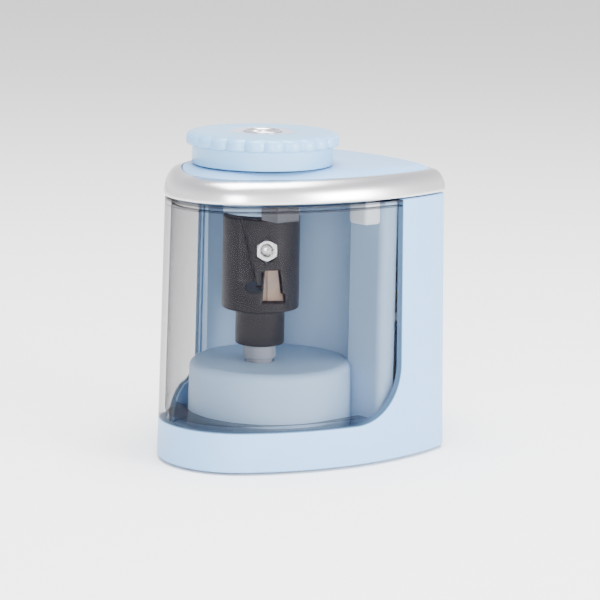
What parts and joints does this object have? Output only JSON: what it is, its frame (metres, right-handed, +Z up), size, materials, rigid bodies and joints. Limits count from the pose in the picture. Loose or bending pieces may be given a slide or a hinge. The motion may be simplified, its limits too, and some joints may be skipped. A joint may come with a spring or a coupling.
{
  "type": "battery pencil sharpener",
  "caption": "Battery pencil sharpener: top entry with scalloped knob, spinning cutter in a clear slide-out shavings bin, gear drive, motor and rear battery bay.",
  "frame": {"origin": "under the middle of the footprint, on the surface it stands on", "axes": "+Z up, the rounded nose and the bin's way out towards -Y, the battery door towards +Y"},
  "size_m": [0.0624, 0.0828, 0.0924],
  "materials": {
    "light_blue": "satin moulded, light blue",
    "smoke_clear": "clear smoke-tinted",
    "silver": "satin plated",
    "charcoal": "satin moulded",
    "white_plastic": "natural acetal",
    "steel": "plain",
    "blade_steel": "heat-tinted",
    "brass": "plain",
    "rubber": "matte",
    "red_wire": "insulation",
    "black_wire": "insulation"
  },
  "bodies": {
    "housing": {"outer_shell": "light_blue", "inner_chassis": "light_blue", "base_plate": "light_blue", "trim_ring": "silver", "top_plate": "light_blue", "pencil_guide": "light_blue", "bin_catch": "white_plastic", "bin_switch": "charcoal", "motor_can": "steel", "motor_end_cap": "white_plastic", "motor_terminal_1": "brass", "motor_terminal_2": "brass", "motor_bracket": "steel", "gear_axle": "steel", "start_contact": "brass", "battery_box": "light_blue", "contact_plate_top_1": "steel", "contact_plate_top_2": "steel", "contact_bridge": "steel", "contact_spring_1": "steel", "contact_spring_2": "steel", "red_wire": "red_wire", "black_wire": "black_wire", "base_screw_1": "steel", "base_screw_2": "steel", "base_screw_3": "steel", "base_screw_4": "steel", "rubber_foot_1": "rubber", "rubber_foot_2": "rubber", "rubber_foot_3": "rubber", "rubber_foot_4": "rubber"},
    "bin": {"shavings_bin": "smoke_clear"},
    "knob": {"selector_knob": "light_blue", "entry_bush": "silver"},
    "start_seat": {"start_plunger": "brass"},
    "cutter": {"cutter_holder": "charcoal", "blade": "blade_steel", "blade_bolt": "steel", "blade_nut": "steel", "drive_shaft": "white_plastic", "output_gear": "white_plastic"},
    "idler": {"compound_gear": "white_plastic"},
    "rotor": {"motor_pinion": "brass", "rotor_shaft": "steel"},
    "door": {"battery_door": "light_blue"}
  },
  "joints": [
    {"name": "bin_slide", "type": "slide", "parent": "housing", "child": "bin", "axis": [0, -1, 0], "range_m": [0, 0.07]},
    {"name": "knob_turn", "type": "hinge", "parent": "housing", "child": "knob", "pos_m": [0, -0.011, 0.0884], "axis": [0, 0, 1], "range_deg": [-60, 60]},
    {"name": "start_press", "type": "slide", "parent": "housing", "child": "start_seat", "axis": [0, 0, 1], "range_m": [-0.0008, 0], "stiffness_N_per_m": 600, "springref_m": 0.002},
    {"name": "cutter_spin", "type": "hinge", "parent": "start_seat", "child": "cutter", "pos_m": [0, -0.011, 0.0422], "axis": [0, 0, 1], "continuous": true},
    {"name": "idler_spin", "type": "hinge", "parent": "housing", "child": "idler", "pos_m": [0.00994, 0.00635, 0.005], "axis": [0, 0, 1], "continuous": true},
    {"name": "rotor_spin", "type": "hinge", "parent": "housing", "child": "rotor", "pos_m": [0.0173, 0.023, 0.0028], "axis": [0, 0, 1], "continuous": true},
    {"name": "door_hinge", "type": "hinge", "parent": "housing", "child": "door", "pos_m": [-0.0062, 0.04094, 0.01525], "axis": [-1, 0, 0], "range_deg": [0, 100]}
  ],
  "couplings": [
    {"joint": "idler_spin", "follows": "cutter_spin", "ratio": -4},
    {"joint": "rotor_spin", "follows": "cutter_spin", "ratio": 22}
  ]
}
